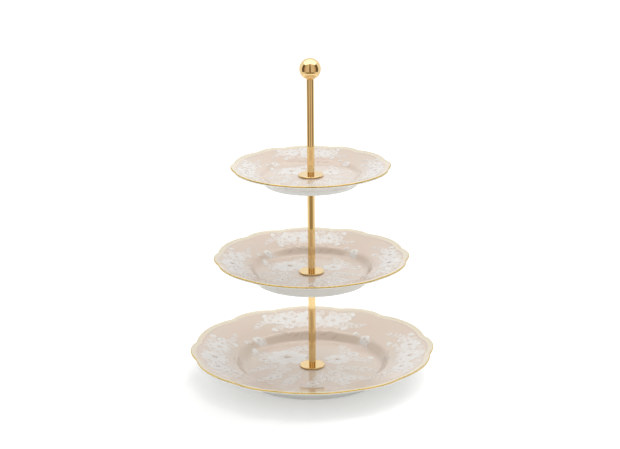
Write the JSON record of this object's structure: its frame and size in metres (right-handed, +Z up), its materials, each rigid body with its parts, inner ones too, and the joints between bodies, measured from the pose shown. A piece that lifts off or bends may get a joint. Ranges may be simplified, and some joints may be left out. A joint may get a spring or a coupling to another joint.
{
  "type": "tiered cake stand",
  "caption": "Tiered serving stand: porcelain plates with lobed gilt rims, clamped on a screwed brass stem of tubes with a ball finial to lift it by.",
  "frame": {"origin": "on the stem's axis, at the plane the bottom plate's foot ring stands on", "axes": "+Z up the stem to the finial; +Y away from the viewer's side; +X to the viewer's right"},
  "size_m": [0.2664, 0.2648, 0.3519],
  "materials": {
    "porcelain": "glossy glaze, beige ground with raised white flowers and a gilt edge",
    "gilt_brass": "polished and gold plated",
    "plain_brass": "plain turned brass",
    "steel": "zinc plated",
    "rubber": "matt black",
    "nylon": "natural white"
  },
  "bodies": {
    "base": {"bottom_plate": "porcelain", "base_screw": "steel", "base_washer": "steel", "base_seal": "rubber", "bottom_bush": "nylon"},
    "lower_collar": {"bottom_disc": "gilt_brass"},
    "lower_stem": {"lower_tube": "gilt_brass", "lower_tube_foot_insert": "plain_brass", "lower_tube_head_insert": "plain_brass", "middle_support": "plain_brass", "middle_seal": "rubber", "middle_stud": "steel"},
    "middle_tier": {"middle_plate": "porcelain", "middle_bush": "nylon"},
    "middle_collar": {"middle_disc": "gilt_brass"},
    "middle_stem": {"middle_tube": "gilt_brass", "middle_tube_foot_insert": "plain_brass", "middle_tube_head_insert": "plain_brass", "top_support": "plain_brass", "top_seal": "rubber", "top_stud": "steel"},
    "top_tier": {"top_plate": "porcelain", "top_bush": "nylon"},
    "top_collar": {"top_disc": "gilt_brass"},
    "top_stem": {"top_tube": "gilt_brass", "top_tube_foot_insert": "plain_brass", "top_tube_head_insert": "plain_brass"},
    "finial_screw": {"finial_stud": "steel"},
    "finial": {"finial_ball": "gilt_brass"}
  },
  "joints": [
    {"name": "lower_stem_turn", "type": "hinge", "parent": "base", "child": "lower_collar", "pos_m": [0, 0, 0.0083], "axis": [0, 0, 1], "range_deg": [0, 2880.1]},
    {"name": "lower_stem_lift", "type": "slide", "parent": "lower_collar", "child": "lower_stem", "axis": [0, 0, 1], "range_m": [0, 0.0056]},
    {"name": "middle_tier_swivel", "type": "hinge", "parent": "lower_stem", "child": "middle_tier", "pos_m": [0, 0, 0.112], "axis": [0, 0, 1], "continuous": true},
    {"name": "middle_stem_turn", "type": "hinge", "parent": "lower_stem", "child": "middle_collar", "pos_m": [0, 0, 0.1169], "axis": [0, 0, 1], "range_deg": [0, 2880.1]},
    {"name": "middle_stem_lift", "type": "slide", "parent": "middle_collar", "child": "middle_stem", "axis": [0, 0, 1], "range_m": [0, 0.0056]},
    {"name": "top_tier_swivel", "type": "hinge", "parent": "middle_stem", "child": "top_tier", "pos_m": [0, 0, 0.2206], "axis": [0, 0, 1], "continuous": true},
    {"name": "top_stem_turn", "type": "hinge", "parent": "middle_stem", "child": "top_collar", "pos_m": [0, 0, 0.2251], "axis": [0, 0, 1], "range_deg": [0, 2880.1]},
    {"name": "top_stem_lift", "type": "slide", "parent": "top_collar", "child": "top_stem", "axis": [0, 0, 1], "range_m": [0, 0.0056]},
    {"name": "finial_lift", "type": "slide", "parent": "top_stem", "child": "finial_screw", "axis": [0, 0, 1], "range_m": [0, 0.0056]},
    {"name": "finial_turn", "type": "hinge", "parent": "finial_screw", "child": "finial", "pos_m": [0, 0, 0.3296], "axis": [0, 0, 1], "range_deg": [0, 2880.1]}
  ],
  "couplings": [
    {"joint": "lower_stem_turn", "follows": "lower_stem_lift", "rad_per_m": 8976},
    {"joint": "middle_stem_turn", "follows": "middle_stem_lift", "rad_per_m": 8976},
    {"joint": "top_stem_turn", "follows": "top_stem_lift", "rad_per_m": 8976},
    {"joint": "finial_turn", "follows": "finial_lift", "rad_per_m": 8976}
  ]
}
